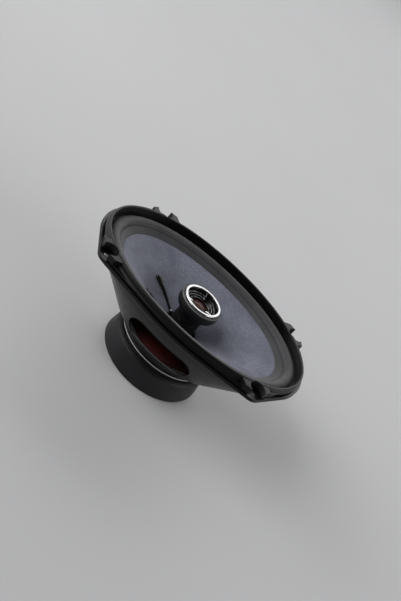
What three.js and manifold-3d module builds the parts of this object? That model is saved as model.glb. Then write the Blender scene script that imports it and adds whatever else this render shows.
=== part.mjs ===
// Coaxial car speaker, 6 x 9 inch class: a pressed oval basket with an oval cone, a ring-magnet
// motor in a rubber boot, and a small dome tweeter held over the cone on a post from the pole piece.
// Millimetres, +Z up. Z is the speaker's own axis with the cone facing up, X its long axis. The
// origin is on the axis at the back face of the magnet boot.
import * as THREE from 'three';
import { mergeVertices } from 'three/addons/utils/BufferGeometryUtils.js';
import Module from 'manifold-3d';

const wasm = await Module();
wasm.setup();

// ---------------------------------------------------------------- driving dimensions (mm)
const GAP = 0.3;                 // space kept between separate pieces that rest on each other
const OVAL_STEPS = 40;           // straight steps round an oval
const OVAL_POWER = 2.06;         // the ovals are a touch fuller than an ellipse
const TOTAL_HEIGHT = 94.6;       // back of the boot to the top of the trim ring

const FLANGE_A = 117.8;          // half length and half width of the flange oval
const FLANGE_B = 80.8;
const FLANGE_TOP = 87;
const FLANGE_THICK = 1.5;
const FLANGE_LIP = 3.2;          // depth of the turned-down edge
const EAR_X = 86;                // screw holes, one in each of the four ears
const EAR_Y = 58.8;
const EAR_R = 12;                // ears' round corners, each about a point inboard of its screw
const EAR_IN = 4.6;
const LEDGE_DROP = 4;            // the surround is glued on a ledge this far below the flange
const SCREW_HOLE_R = 2.6;
const SCOOP_R = 8;               // scoop in the trim ring round each screw, and half its mouth
const SCOOP_MOUTH = 6;

const RIDGE_A = 113.7;           // centre line of the trim ring's tall wall
const RIDGE_B = 75.8;
const RIDGE_HALF = 2.0;          // half its thickness

const ROLL_R = 5.4;              // half-roll of the surround
const ROLL_SQUASH = 0.85;        // its height as a share of a half circle
const ROLL_INSET = 10.2;         // ridge centre line to the roll's centre line

const NECK_Z = 48;               // cone neck
const FORMER_R = 17.6;
const FORMER_WALL = 0.4;

const BASE_R = 48.8;             // round base of the basket
const BASE_Z = 27.5;
const PLATE_R = 44;
const POLE_R = 16.5;
const BACK_PLATE_Z = 2.6;
const BACK_PLATE_T = 6;
const MAGNET_T = 14.4;
const FRONT_PLATE_T = 5;
const BOOT_R = 52.8;
const BOOT_TOP = 23.5;

const POST_R = 13.2;             // tweeter post
const TWEETER_TOP = 85.7;

// ---------------------------------------------------------------- looks
const paint = (color, roughness, metalness = 0) =>
  new THREE.MeshStandardMaterial({ color, roughness, metalness });
const glossBlack = paint(0x17171a, 0.25, 0.3);
const satinBlack = paint(0x2a2a2c, 0.45);
const rubber = paint(0x38383a, 0.75);
const coneGrey = paint(0x555863, 0.6);
const chrome = paint(0xe8e8ea, 0.08, 1);
const steel = paint(0xb4b4b8, 0.35, 1);
const darkSteel = paint(0x3a3a3e, 0.4, 1);
const ferrite = paint(0x2d2c2e, 0.7);
const copper = paint(0xb0683a, 0.35, 1);
const spiderRed = paint(0x8a1a14, 0.9);
const domeRed = paint(0x6a2c22, 0.35);
const tan = paint(0x8d6b3c, 0.7);
const brass = paint(0xc9a24a, 0.3, 1);

// ---------------------------------------------------------------- geometry helpers
const group = new THREE.Group();

function clean(geometry) {
  let g = geometry.clone();
  for (const key of Object.keys(g.attributes)) if (key !== 'position') g.deleteAttribute(key);
  g = mergeVertices(g, 1e-4);
  const p = g.attributes.position, index = g.index.array, out = [];
  let volume = 0;
  const a = new THREE.Vector3(), b = new THREE.Vector3(), c = new THREE.Vector3();
  for (let i = 0; i < index.length; i += 3) {
    const [i0, i1, i2] = [index[i], index[i + 1], index[i + 2]];
    if (i0 === i1 || i1 === i2 || i0 === i2) continue;
    a.fromBufferAttribute(p, i0); b.fromBufferAttribute(p, i1); c.fromBufferAttribute(p, i2);
    volume += a.dot(b.cross(c)) / 6;
    out.push(i0, i1, i2);
  }
  if (volume < 0) for (let i = 0; i < out.length; i += 3) [out[i], out[i + 1]] = [out[i + 1], out[i]];
  g.setIndex(out);
  return g;
}
function toSolid(geometry) {
  const g = clean(geometry);
  return new wasm.Manifold(new wasm.Mesh({
    numProp: 3,
    vertProperties: new Float32Array(g.attributes.position.array),
    triVerts: new Uint32Array(g.index.array),
  }));
}
function toGeometry(solid) {
  const m = solid.getMesh(), g = new THREE.BufferGeometry(), xyz = [];
  for (let i = 0; i < m.vertProperties.length; i += m.numProp) {
    xyz.push(m.vertProperties[i], m.vertProperties[i + 1], m.vertProperties[i + 2]);
  }
  g.setAttribute('position', new THREE.Float32BufferAttribute(xyz, 3));
  g.setIndex(Array.from(m.triVerts));
  return g;
}
function join(...list) {
  return list.map(toSolid).reduce((s, t) => s.add(t));
}
function cut(base, ...tools) {
  let s = base instanceof THREE.BufferGeometry ? toSolid(base) : base;
  for (const t of tools) s = s.subtract(t instanceof THREE.BufferGeometry ? toSolid(t) : t);
  return s;
}
function add(name, shape, material, parent = group) {
  const geometry = shape instanceof THREE.BufferGeometry ? clean(shape) : clean(toGeometry(shape));
  geometry.computeVertexNormals();
  const mesh = new THREE.Mesh(geometry, material);
  mesh.name = name;
  parent.add(mesh);
  return mesh;
}

// a closed section of [half length, half width, height] points carried round an oval
function ovalRing(section, segments = OVAL_STEPS, power = OVAL_POWER) {
  const loop = [...section, section[0]];
  const g = new THREE.LatheGeometry(loop.map(([a, , z]) => new THREE.Vector2(a, z)), segments);
  const p = g.attributes.position;
  for (let i = 0; i <= segments; i++) {
    const t = (i % segments) / segments * 2 * Math.PI;
    loop.forEach(([a, b, z, n = power], j) => {
      const c = Math.cos(t), s = Math.sin(t);
      p.setXYZ(i * loop.length + j,
        a * Math.sign(c) * Math.abs(c) ** (2 / n), b * Math.sign(s) * Math.abs(s) ** (2 / n), z);
    });
  }
  return g;
}
// a solid of revolution about Z from [radius, height] points, on the axis or closed on itself
function turned(profile, segments = 30) {
  const closed = profile[0][0] > 0;
  const pts = (closed ? [...profile, profile[0]] : profile).map(([r, z]) => new THREE.Vector2(r, z));
  return new THREE.LatheGeometry(pts, segments).rotateX(Math.PI / 2);
}
const tube = (r0, r1, z0, z1, segments = 30) =>
  turned([[r0, z0], [r1, z0], [r1, z1], [r0, z1]], segments);
const rod = (r, z0, z1, segments = 24) => turned([[0, z0], [r, z0], [r, z1], [0, z1]], segments);
const box = (x0, x1, y0, y1, z0, z1) => new THREE.BoxGeometry(x1 - x0, y1 - y0, z1 - z0)
  .translate((x0 + x1) / 2, (y0 + y1) / 2, (z0 + z1) / 2);
function slab(points, z0, z1, holes = []) {
  const shape = new THREE.Shape(points.map(([x, y]) => new THREE.Vector2(x, y)));
  for (const h of holes) shape.holes.push(new THREE.Path(h.map(([x, y]) => new THREE.Vector2(x, y))));
  return new THREE.ExtrudeGeometry(shape, { depth: z1 - z0, bevelEnabled: false }).translate(0, 0, z0);
}
function wire(points, radius, steps = 20, sides = 8) {
  const path = new THREE.CatmullRomCurve3(points.map(([x, y, z]) => new THREE.Vector3(x, y, z)));
  const section = new THREE.Shape();
  section.absarc(0, 0, radius, 0, 2 * Math.PI);
  return new THREE.ExtrudeGeometry(section, { steps, extrudePath: path, curveSegments: sides / 2 });
}
function ovalPoints(a, b, count = OVAL_STEPS, n = OVAL_POWER) {
  return Array.from({ length: count }, (_, i) => {
    const t = i / count * 2 * Math.PI, c = Math.cos(t), s = Math.sin(t);
    return [a * Math.sign(c) * Math.abs(c) ** (2 / n), b * Math.sign(s) * Math.abs(s) ** (2 / n)];
  });
}
const corners = [[1, 1], [-1, 1], [-1, -1], [1, -1]];
function circlePoints(x, y, r, count = 24) {
  return Array.from({ length: count }, (_, i) => {
    const t = i / count * 2 * Math.PI;
    return [x + r * Math.cos(t), y + r * Math.sin(t)];
  });
}
// the flange outline: the tight curve round the flange oval and its four screw ears
function flangeOutline(inset) {
  const pts = ovalPoints(FLANGE_A - inset, FLANGE_B - inset);
  const slant = Math.atan2(1.25 * EAR_Y, EAR_X);
  const x = EAR_X - EAR_IN * Math.cos(slant), y = EAR_Y - EAR_IN * Math.sin(slant);
  for (const [sx, sy] of corners) pts.push(...circlePoints(sx * x, sy * y, EAR_R - inset, 24));
  pts.sort((p, q) => p[0] - q[0] || p[1] - q[1]);
  const turn = (o, p, q) => (p[0] - o[0]) * (q[1] - o[1]) - (p[1] - o[1]) * (q[0] - o[0]);
  const half = (list) => {
    const h = [];
    for (const p of list) {
      while (h.length > 1 && turn(h[h.length - 2], h[h.length - 1], p) <= 1e-9) h.pop();
      h.push(p);
    }
    h.pop();
    return h;
  };
  return [...half(pts), ...half([...pts].reverse())];
}

// ---------------------------------------------------------------- heights worked out from the stack
const MAGNET_Z = BACK_PLATE_Z + BACK_PLATE_T + GAP;
const FRONT_PLATE_Z = MAGNET_Z + MAGNET_T + GAP;
const PLATE_TOP = FRONT_PLATE_Z + FRONT_PLATE_T;
const BASE_FLOOR = PLATE_TOP + GAP;
const RIVET_R = 39;
const rivetAngles = [45, 135, 225, 315].map((a) => a * Math.PI / 180);
const CABLE_R = 1.0;             // tweeter cable, through an off-centre bore in pole and post
const CABLE_ANGLE = 110 * Math.PI / 180;
const CABLE_BORE_AT = 8.5;
const cableAt = (r, z) => [r * Math.cos(CABLE_ANGLE), r * Math.sin(CABLE_ANGLE), z];
const cableBore = (z0, z1) => {
  const [x, y] = cableAt(CABLE_BORE_AT, 0);
  return rod(CABLE_R + 0.7, z0, z1, 12).translate(x, y, 0);
};
const LEDGE_A = RIDGE_A - 6.4, LEDGE_B = RIDGE_B - 6.4;   // inner edge of the glue ledge
const LEDGE_Z = FLANGE_TOP - LEDGE_DROP;

const BOARD_RIVETS = [43, 55.6];
const boardHole = (z) => rod(1.5, -10, 10, 12).rotateX(Math.PI / 2).translate(-23, 50, z);

// ---------------------------------------------------------------- basket
const WINDOW_HALF = 35.5, WINDOW_Z = 36.8, WINDOW_H = 26.5;
function windowCutter(side) {
  const r = WINDOW_H / 2, shape = new THREE.Shape();
  shape.moveTo(-WINDOW_HALF + r, WINDOW_Z);
  shape.absarc(WINDOW_HALF - r, WINDOW_Z + r, r, -Math.PI / 2, Math.PI / 2, false);
  shape.absarc(-WINDOW_HALF + r, WINDOW_Z + r, r, Math.PI / 2, 1.5 * Math.PI, false);
  return new THREE.ExtrudeGeometry(shape, { depth: 60, bevelEnabled: false, curveSegments: 8 })
    .rotateX(Math.PI / 2).translate(0, side > 0 ? 85 : -25, 0);
}
{
  const z = FLANGE_TOP, t = FLANGE_THICK;
  const plate = slab(flangeOutline(0), z - t, z, [ovalPoints(RIDGE_A - 0.4, RIDGE_B - 0.4)]);
  const lip = slab(flangeOutline(0), z - FLANGE_LIP, z - t + 0.2, [flangeOutline(1.6)]);
  // wall: a step under the flange, a shallow shoulder, the steep side, the spider shelf, the base
  const wall = ovalRing([
    [LEDGE_A, LEDGE_B, LEDGE_Z], [RIDGE_A - 0.8, RIDGE_B - 0.8, LEDGE_Z],
    [RIDGE_A - 0.8, RIDGE_B - 0.8, z - 0.2], [RIDGE_A + 0.8, RIDGE_B + 0.8, z - 0.2],
    [RIDGE_A + 1, RIDGE_B + 0.4, LEDGE_Z - 1.2], [LEDGE_A + 5.2, LEDGE_B + 0.6, z - 9],
    [104.5, 67, 70], [87, 59.5, 55, 2], [65, BASE_R, 36.4, 2],
    [62.5, BASE_R - 1.2, 35.2, 2], [53, BASE_R - 1.2, BASE_Z + 2.2, 2],
    [BASE_R, BASE_R, BASE_Z + 1.4, 2], [BASE_R, BASE_R, BASE_Z + 0.2, 2],
    [BASE_R - 3.2, BASE_R - 3.2, BASE_Z + 0.2, 2], [BASE_R - 3.2, BASE_R - 3.2, 34.2, 2],
    [BASE_R - 7.4, BASE_R - 7.4, 34.8, 2], [BASE_R - 7.4, BASE_R - 7.4, 36, 2],
    [60.6, BASE_R - 2.2, 36, 2],
    [62.2, BASE_R - 1.9, 37.6, 2], [85, 57.7, 55.8, 2], [102.4, 65.2, 70.6],
    [LEDGE_A + 1.4, LEDGE_B - 1.6, z - 7.6], [LEDGE_A, LEDGE_B, LEDGE_Z - 1.4],
  ]);
  const base = tube(33, BASE_R - 2.5, BASE_FLOOR, BASE_FLOOR + 1.6, 40);
  // upright tongue in the rear window that carries the terminal board
  const tongue = cut(box(-36, -10, 47.2, 48.8, 36.4, 59.4), box(-32, -14, 46, 50, 45, 53),
    ...BOARD_RIVETS.map(boardHole));
  let s = cut(join(plate, lip, wall, base), windowCutter(1), windowCutter(-1));
  s = s.add(tongue);
  s = cut(s, ...corners.map(([sx, sy]) =>
    rod(SCREW_HOLE_R, z - 4, z + 2, 16).translate(sx * EAR_X, sy * EAR_Y, 0)));
  s = cut(s, ...rivetAngles.map((a) => rod(2.3, 20, 34, 12)
    .translate(RIVET_R * Math.cos(a), RIVET_R * Math.sin(a), 0)));
  add('basket_frame', s, glossBlack);
}

// ---------------------------------------------------------------- trim ring on the flange
{
  const z = FLANGE_TOP + GAP, h = RIDGE_HALF, top = TOTAL_HEIGHT;
  const bottom = LEDGE_Z + GAP + 0.8 + GAP;
  const wall = ovalRing([
    [RIDGE_A - h, RIDGE_B - h, bottom], [RIDGE_A - h + 0.8, RIDGE_B - h + 0.8, bottom],
    [RIDGE_A - h + 0.8, RIDGE_B - h + 0.8, z], [FLANGE_A - 2.2, FLANGE_B - 2.4, z],
    [FLANGE_A - 2.2, FLANGE_B - 2.4, z + 1.5], [RIDGE_A + h + 0.2, RIDGE_B + h, z + 3],
    [RIDGE_A + h - 0.6, RIDGE_B + h, top - 2.6], [RIDGE_A + h - 1.9, RIDGE_B + h - 0.9, top - 0.5],
    [RIDGE_A - 0.4, RIDGE_B, top], [RIDGE_A - h + 0.9, RIDGE_B - h + 0.9, top - 0.3],
    [RIDGE_A - h, RIDGE_B - h, top - 1.6],
  ]);
  const foot = slab(flangeOutline(1.6), z, z + 1.5, [ovalPoints(RIDGE_A, RIDGE_B)]);
  // full-height boss on each ear, scooped out round the screw so two prongs are left
  let s = join(wall, foot);
  const region = toSolid(slab(flangeOutline(1.8), z, top - 0.4, [ovalPoints(RIDGE_A, RIDGE_B)]));
  for (const [sx, sy] of corners) {
    const at = Math.atan2(sy * EAR_Y * 1.25, sx * EAR_X);
    const block = toSolid(box(-16, 16, -13.5, 13.5, z, top - 0.4).rotateZ(at)
      .translate(sx * (EAR_X - 1), sy * (EAR_Y - 1), 0));
    s = s.add(region.intersect(block));
    const scoop = join(rod(SCOOP_R, z - 1, top + 1, 20),
      box(0, 20, -SCOOP_MOUTH, SCOOP_MOUTH, z - 1, top + 1));
    s = cut(s, toGeometry(scoop).rotateZ(at).translate(sx * EAR_X, sy * EAR_Y, 0));
  }
  add('gasket_ring', s, satinBlack);
}

// ---------------------------------------------------------------- cone and surround
const CONE_A = 98.3, CONE_B = 60.4, CONE_Z = LEDGE_Z - 0.2, CONE_T = 0.9, CONE_CURVE = 1.15;
const NECK_R = FORMER_R + GAP;
const coneAt = (s) =>            // front face, from the edge (s = 0) to the neck (s = 1)
  [CONE_A + (NECK_R - CONE_A) * s, CONE_B + (NECK_R - CONE_B) * s,
    CONE_Z + (NECK_Z - CONE_Z) * s ** CONE_CURVE, OVAL_POWER + (2 - OVAL_POWER) * s];
{
  const front = [0, 0.1, 0.25, 0.45, 0.65, 0.85, 1].map(coneAt);
  const back = [...front].reverse().map(([a, b, z, n], i) => i === 0
    ? [a, b, z - 3, n] : [a - 0.2, b - 0.2, z - CONE_T, n]);
  add('cone', ovalRing([...front, ...back]), coneGrey);
}
{
  const ra = RIDGE_A - ROLL_INSET, rb = RIDGE_B - ROLL_INSET, z0 = LEDGE_Z + GAP + 0.4, t = 0.4;
  const arc = (r, from, to, n = 6) => Array.from({ length: n + 1 }, (_, i) => {
    const u = (from + (to - from) * i / n) * Math.PI / 180;
    return [ra + r * Math.cos(u), rb + r * Math.cos(u), z0 + ROLL_SQUASH * r * Math.sin(u)];
  });
  const [ia, ib, iz] = coneAt(0.1);
  const edge = 0.2 - RIDGE_HALF;
  add('surround', ovalRing([
    [RIDGE_A + edge, RIDGE_B + edge, z0 - t], [RIDGE_A + edge, RIDGE_B + edge, z0 + t],
    ...arc(ROLL_R + t, 4, 176), [ia, ib, iz + 1.1], [ia, ib, iz + 0.35],
    [ra - ROLL_R, rb - ROLL_R, CONE_Z + 0.4],
    ...arc(ROLL_R - t, 174, 6, 5),
  ]), rubber);
}
// two beads of black cement that cover the coil wires on the cone
const LEAD_ANGLES = [166, 207];
LEAD_ANGLES.forEach((deg, k) => {
  const turnIn = [-9, 0][k];     // how far the bead swings from its outer end to its inner end
  const at = (d, u) => {         // height of the cone d mm out from the axis in direction u
    let lo = 0, hi = 1;
    for (let i = 0; i < 40; i++) {
      const m = (lo + hi) / 2, [a, b] = coneAt(m);
      const r = 1 / Math.hypot(Math.cos(u) / a, Math.sin(u) / b);
      if (r > d) lo = m; else hi = m;
    }
    return coneAt(lo)[2];
  };
  const sections = [[19.8, 1.5, 1.1], [26, 2, 1.6], [34, 2.6, 2.1], [41, 3.2, 2.6], [46, 3.5, 2.8],
    [49.4, 2.2, 1.8]];
  const rows = sections.map(([d, w, h]) => {
    const u = (deg + turnIn * (49.4 - d) / 29.6) * Math.PI / 180, z = at(d, u) + GAP + 0.2;
    return [[d, -w, z + 0.4], [d, w, z + 0.4], [d, w * 0.8, z + h * 0.7], [d, 0, z + h],
      [d, -w * 0.8, z + h * 0.7]].map(([x, y, q]) =>
      [x * Math.cos(u) - y * Math.sin(u), x * Math.sin(u) + y * Math.cos(u), q]);
  });
  const n = 5, xyz = rows.flat(2), index = [];
  for (let r = 0; r + 1 < rows.length; r++) for (let i = 0; i < n; i++) {
    const a = r * n + i, b = r * n + (i + 1) % n;
    index.push(a, b, b + n, a, b + n, a + n);
  }
  const last = (rows.length - 1) * n;
  for (let i = 1; i + 1 < n; i++) index.push(0, i + 1, i, last, last + i, last + i + 1);
  const g = new THREE.BufferGeometry();
  g.setAttribute('position', new THREE.Float32BufferAttribute(xyz, 3));
  g.setIndex(index);
  add(`coil_lead_cover_${k + 1}`, g, glossBlack);
});

// ---------------------------------------------------------------- voice coil and spider
const SPIDER_Z = 37.4;
add('voice_coil_former', tube(FORMER_R - FORMER_WALL, FORMER_R, 15, NECK_Z - 0.4), tan);
add('voice_coil_winding', tube(FORMER_R + GAP, FORMER_R + 1, 17.5, 30), copper);
{
  const rIn = FORMER_R + GAP, rOut = BASE_R - 3.9, waves = 3, n = waves * 4, top = [], under = [];
  for (let i = 0; i <= n; i++) {
    const s = i / n, flat = i === 0 || i === n;
    const r = rIn + 1.5 * (i > 0) + (rOut - rIn - 5) * s + 3.5 * (i === n);
    const z = SPIDER_Z + (flat ? 0 : 1.3 * Math.sin(s * waves * 2 * Math.PI));
    top.push([r, z + 0.35]);
    under.unshift([r, z - 0.35]);
  }
  add('spider', turned([...top, ...under], 24), spiderRed);
}

// ---------------------------------------------------------------- motor
{
  let plate = cut(tube(FORMER_R + 1.8, PLATE_R, FRONT_PLATE_Z, PLATE_TOP, 36),
    ...rivetAngles.map((a) => rod(2.3, 20, 34, 12)
      .translate(RIVET_R * Math.cos(a), RIVET_R * Math.sin(a), 0)));
  add('front_plate', plate, steel);
  add('magnet_ring', tube(23, 45, MAGNET_Z, MAGNET_Z + MAGNET_T, 36), ferrite);
  const yoke = turned([[0, BACK_PLATE_Z], [PLATE_R, BACK_PLATE_Z],
    [PLATE_R, BACK_PLATE_Z + BACK_PLATE_T], [POLE_R + 2, BACK_PLATE_Z + BACK_PLATE_T],
    [POLE_R, BACK_PLATE_Z + BACK_PLATE_T + 2], [POLE_R, PLATE_TOP], [0, PLATE_TOP]], 36);
  add('back_plate_and_pole', cut(yoke, rod(2.4, 0, 40, 16), rod(5.6, 0, 6.2, 24),
    cableBore(0, 40), box(-1.7, 1.7, -1.7, 50, 0, 5.8).rotateZ(CABLE_ANGLE - Math.PI / 2)),
  darkSteel);
  // rivets: head on the basket floor, tail formed under the front plate's own recess
  rivetAngles.forEach((a, i) => add(`base_rivet_${i + 1}`,
    turned([[0, FRONT_PLATE_Z + 0.4], [2, FRONT_PLATE_Z + 0.4], [2, BASE_FLOOR + 1.9],
      [3.6, BASE_FLOOR + 1.9], [3.2, BASE_FLOOR + 3.1], [1.8, BASE_FLOOR + 3.7],
      [0, BASE_FLOOR + 3.8]], 12)
      .translate(RIVET_R * Math.cos(a), RIVET_R * Math.sin(a), 0), darkSteel));
  // boot: waisted rubber cup, open at the back inside its rim
  const boot = turned([[36, 0], [BOOT_R - 1.6, 0], [BOOT_R - 0.3, 0.8], [BOOT_R, 2.4],
    [BOOT_R - 0.2, 4.6], [52.1, 8], [51.5, 12], [51.1, 16], [50.9, 20], [50.2, 22.2],
    [48.6, BOOT_TOP], [45.4, BOOT_TOP], [45.4, 2.3], [36, 2.3]], 36);
  add('magnet_boot', cut(boot,
    box(-1.6, 1.6, 30, 49.5, 0.6, BOOT_TOP + 1).rotateZ(CABLE_ANGLE - Math.PI / 2)), rubber);
}

// ---------------------------------------------------------------- tweeter on its post
const HOUSING_Z = 62;
{
  const post = turned([[0, PLATE_TOP + GAP], [POST_R, PLATE_TOP + GAP], [POST_R, HOUSING_Z - GAP],
    [0, HOUSING_Z - GAP]], 32);
  add('tweeter_post', cut(post, rod(2.4, 20, 46, 16), cableBore(20, 70)), satinBlack);
  add('post_washer', tube(2.4, 5, 4.9, 5.9, 24), steel);
  add('post_screw', turned([[0, 2.4], [3.4, 2.4], [3.8, 3], [3.8, 4.6], [2.1, 4.6], [2.1, 44],
    [0, 44]], 20), steel);

  const housing = turned([[0, HOUSING_Z], [POST_R, HOUSING_Z], [POST_R, 72.6], [19.2, 73.4],
    [20.2, 74], [20.2, 76], [18.6, 76], [18.6, 82], [17, 82], [17, 75.5], [11.8, 75.5],
    [11.8, 64], [0, 64]], 28);
  add('tweeter_housing', cut(housing, cableBore(50, 70)), satinBlack);
  add('tweeter_pot', turned([[0, 64.3], [11.5, 64.3], [11.5, 74.6], [9.8, 74.6], [9.8, 66.3],
    [0, 66.3]], 24), steel);
  add('tweeter_magnet', rod(8, 66.6, 71.4, 28), chrome);
  add('tweeter_top_plate', rod(8.2, 71.7, 73.7, 28), steel);
  add('tweeter_voice_coil', tube(8.7, 9.2, 71.8, 76.6, 24), copper);
  add('tweeter_dome', turned([[0, 79.4], [3.4, 79.1], [6.6, 78.1], [9.2, 76.9],
    [9.2, 77.4], [6.6, 78.6], [3.4, 79.6], [0, 79.9]], 24), domeRed);
  add('tweeter_edge_ring', tube(9.6, 13.4, 75.8, 76.6, 24), tan);
  const horn = turned([[10, 77.2], [10.9, 77], [14, 78.3], [16.6, 81.2], [16.6, 82.2],
    [13.4, 80], [10.8, 78.4], [10, 78]], 24);
  add('tweeter_horn', horn, glossBlack);
  add('tweeter_bezel', turned([[18.9, 76.3], [21.2, 76.3], [21.6, 77], [21.6, 83], [20.9, 84.1],
    [19.9, 84.2], [19.8, 83.3], [18.9, 83.3]], 30), rubber);
  const rim = turned([[16.5, 83.6], [19.2, 83.6], [19.5, 84.2], [19.3, 85], [18.2, TWEETER_TOP],
    [17.2, 85.3], [16.4, 84.4]], 30);
  const throat = tube(9.5, 10.3, 80.8, 81.6, 24);
  const struts = [97, 217, 337].map((a) => box(9.9, 18.4, -1.1, 1.1, 0, 0.9)
    .rotateY(-0.3).translate(0, 0, 77.8).rotateZ(a * Math.PI / 180));
  add('tweeter_chrome_ring', join(rim, throat, ...struts), chrome);
}

// ---------------------------------------------------------------- terminals on the rear tongue
{
  const slotFor = (x, w) => box(x - w / 2 + 1.7, x + w / 2 - 1.7, 40, 60, 48.7, 50.3);
  const tabs = [['positive', -26.85, 6.3, brass], ['negative', -18.4, 4.8, steel]];
  add('terminal_board', cut(box(-34, 16, 49.1, 51.1, 41, 58.4),
    ...tabs.map(([, x, w]) => slotFor(x, w)), ...BOARD_RIVETS.map(boardHole)), tan);
  for (const [name, x, w, look] of tabs) {
    add(`terminal_${name}`, join(box(x - w / 2, x + w / 2, 51.4, 52.2, 46, 53),
      box(x - w / 2, x + w / 2, 51.4, 63.5, 52.2, 53),
      box(x - w / 2 + 2, x + w / 2 - 2, 45.4, 52, 49, 50)), look);
  }
  BOARD_RIVETS.forEach((z, i) => add(`board_rivet_${i + 1}`, turned([[0, -1.3], [2.2, -1.3],
    [2.2, -0.3], [1.2, -0.3], [1.2, 4.2], [2.2, 4.2], [2.2, 5.2], [0, 5.2]], 14)
    .rotateX(Math.PI / 2).translate(-23, 51.1, z), darkSteel));
  // capacitor in series with the tweeter, its leads bent down to the board
  const body = rod(3.8, -11, 11, 24).rotateY(Math.PI / 2).translate(3, 55.4, 49);
  const lead = (side) => wire([[3 + side * 10.8, 55.4, 49], [3 + side * 12.3, 55.4, 49],
    [3 + side * 12.6, 54.4, 49], [3 + side * 12.6, 51.5, 49]], 0.4, 8, 6);
  add('tweeter_capacitor', join(body, lead(-1), lead(1)), paint(0x2b4a7d, 0.4));
}
// coil wires from the underside of the cone to the inner ends of the terminals
{
  const backOfCone = (deg, d) => {
    const u = deg * Math.PI / 180;
    let lo = 0, hi = 1;
    for (let i = 0; i < 40; i++) {
      const m = (lo + hi) / 2, [a, b] = coneAt(m);
      if (1 / Math.hypot(Math.cos(u) / a, Math.sin(u) / b) > d) lo = m; else hi = m;
    }
    return [d * Math.cos(u), d * Math.sin(u), coneAt(lo)[2] - CONE_T - 1.6];
  };
  const [p, q] = LEAD_ANGLES.map((deg) => backOfCone(deg, 46));
  add('coil_lead_1', wire([p, [p[0] - 1, p[1] + 4, p[2] - 6], [-46, 28, 49], [-36, 40, 46],
    [-28.5, 43, 48.4], [-27, 44.6, 49.5]], 0.6, 16, 6), copper);
  add('coil_lead_2', wire([q, [q[0] - 1, q[1] + 6, q[2] - 7], [-43, 4, 49], [-34, 28, 46.5],
    [-22, 41, 47.6], [-18.4, 44.6, 49.5]], 0.6, 16, 6), copper);
  // tweeter cable: down the bore, out along the back plate, up inside the boot to the terminals
  const r = CABLE_BORE_AT;
  const path = [cableAt(r, 63.8), cableAt(r, 50), cableAt(r, 36), cableAt(r, 22), cableAt(r, 9),
    cableAt(r + 0.6, 4.4), cableAt(r + 3.2, 3.1), cableAt(20, 3), cableAt(32, 3), cableAt(43.4, 3.1),
    cableAt(46.4, 4.4), cableAt(46.9, 8), cableAt(46.9, 20), cableAt(48.4, 24.6),
    cableAt(51, 29), [-18.6, 51.6, 36], [-20.6, 53.6, 41], [-22.6, 53.6, 45.4]];
  add('tweeter_cable', wire(path, CABLE_R, 38, 6), rubber);
}

export default group;
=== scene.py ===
"""Looks of a 6 x 9 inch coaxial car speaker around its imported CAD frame.

Shapes are worked out in millimetres in the CAD frame (Z along the speaker's axis, X along its long
side, 0 at the magnet's back) and turned into metres when a piece is made.
"""
import math

import bmesh
import bpy
import numpy as np
from mathutils import Matrix, Vector


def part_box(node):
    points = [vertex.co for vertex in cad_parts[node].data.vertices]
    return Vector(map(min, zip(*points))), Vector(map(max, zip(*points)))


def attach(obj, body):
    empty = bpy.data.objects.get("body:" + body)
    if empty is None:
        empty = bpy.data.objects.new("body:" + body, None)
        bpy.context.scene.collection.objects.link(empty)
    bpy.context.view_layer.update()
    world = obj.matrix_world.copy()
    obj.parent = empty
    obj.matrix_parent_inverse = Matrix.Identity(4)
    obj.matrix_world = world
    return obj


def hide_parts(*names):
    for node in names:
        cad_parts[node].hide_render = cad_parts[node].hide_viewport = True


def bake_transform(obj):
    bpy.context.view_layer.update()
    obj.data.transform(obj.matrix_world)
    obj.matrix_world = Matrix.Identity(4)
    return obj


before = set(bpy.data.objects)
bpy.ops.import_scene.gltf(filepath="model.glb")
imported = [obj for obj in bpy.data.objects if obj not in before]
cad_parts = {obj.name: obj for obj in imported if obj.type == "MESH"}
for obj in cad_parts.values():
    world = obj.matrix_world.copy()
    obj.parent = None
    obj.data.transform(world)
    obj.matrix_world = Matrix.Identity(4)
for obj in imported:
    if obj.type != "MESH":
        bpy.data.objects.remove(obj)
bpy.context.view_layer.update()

MM = 0.001
FIXED, CONE_BODY, DOME_BODY = "frame", "cone_assembly", "tweeter_diaphragm"


def corner(node, which):
    """One corner of a CAD node's box in millimetres: which is 0 for the lowest, 1 for the highest."""
    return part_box(node)[which] * 1000


def span(node):
    """The lowest and the highest height of a CAD node in millimetres."""
    return corner(node, 0).z, corner(node, 1).z


# -------- driving sizes (mm)
STATIONS = 480                          # steps round an oval
OVAL_POWER = 2.06                       # the ovals are a touch fuller than an ellipse
FLANGE_A, FLANGE_B, FLANGE_TOP = corner("basket_frame", 1)
FLANGE_THICK, FLANGE_LIP = 1.5, 3.2
RING_TOP = corner("gasket_ring", 1).z
RIDGE_A = corner("surround", 1).x + 1.8     # centre line of the trim ring's tall wall
RIDGE_B = corner("surround", 1).y + 1.8
RIDGE_HALF = 2.0                        # half the thickness of that wall
LONG_SIDE = 88                          # how far from the middle the ring counts as a long side, which gets painted shade
EAR_X, EAR_Y = 86, 58.8                 # screw holes, one in each ear
EAR_R, EAR_IN = 12, 4.6                 # an ear's round corner and how far inboard it sits
EAR_SLANT = 1.25                        # how much steeper an ear points than its screw hole lies
EARS = ((1, 1), (1, -1), (-1, 1), (-1, -1))
SCREW_HOLE_R = 2.6
SCOOP_R, SCOOP_MOUTH = 8, 6             # the round hollow over a screw and its half width outboard
LEDGE_Z = FLANGE_TOP - 4                # the step in the basket that the surround is glued to
LEDGE_A, LEDGE_B = RIDGE_A - 6.4, RIDGE_B - 6.4
CONE_A, CONE_B, CONE_Z = corner("cone", 1)
NECK_R, NECK_Z, CONE_T, CONE_CURVE = 17.9, 48, 0.9, 1.15
ROLL_INSET, ROLL_R, ROLL_SQUASH = 10.2, 5.4, 0.85
BASE_R, BASE_Z = 48.8, corner("basket_frame", 0).z
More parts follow.
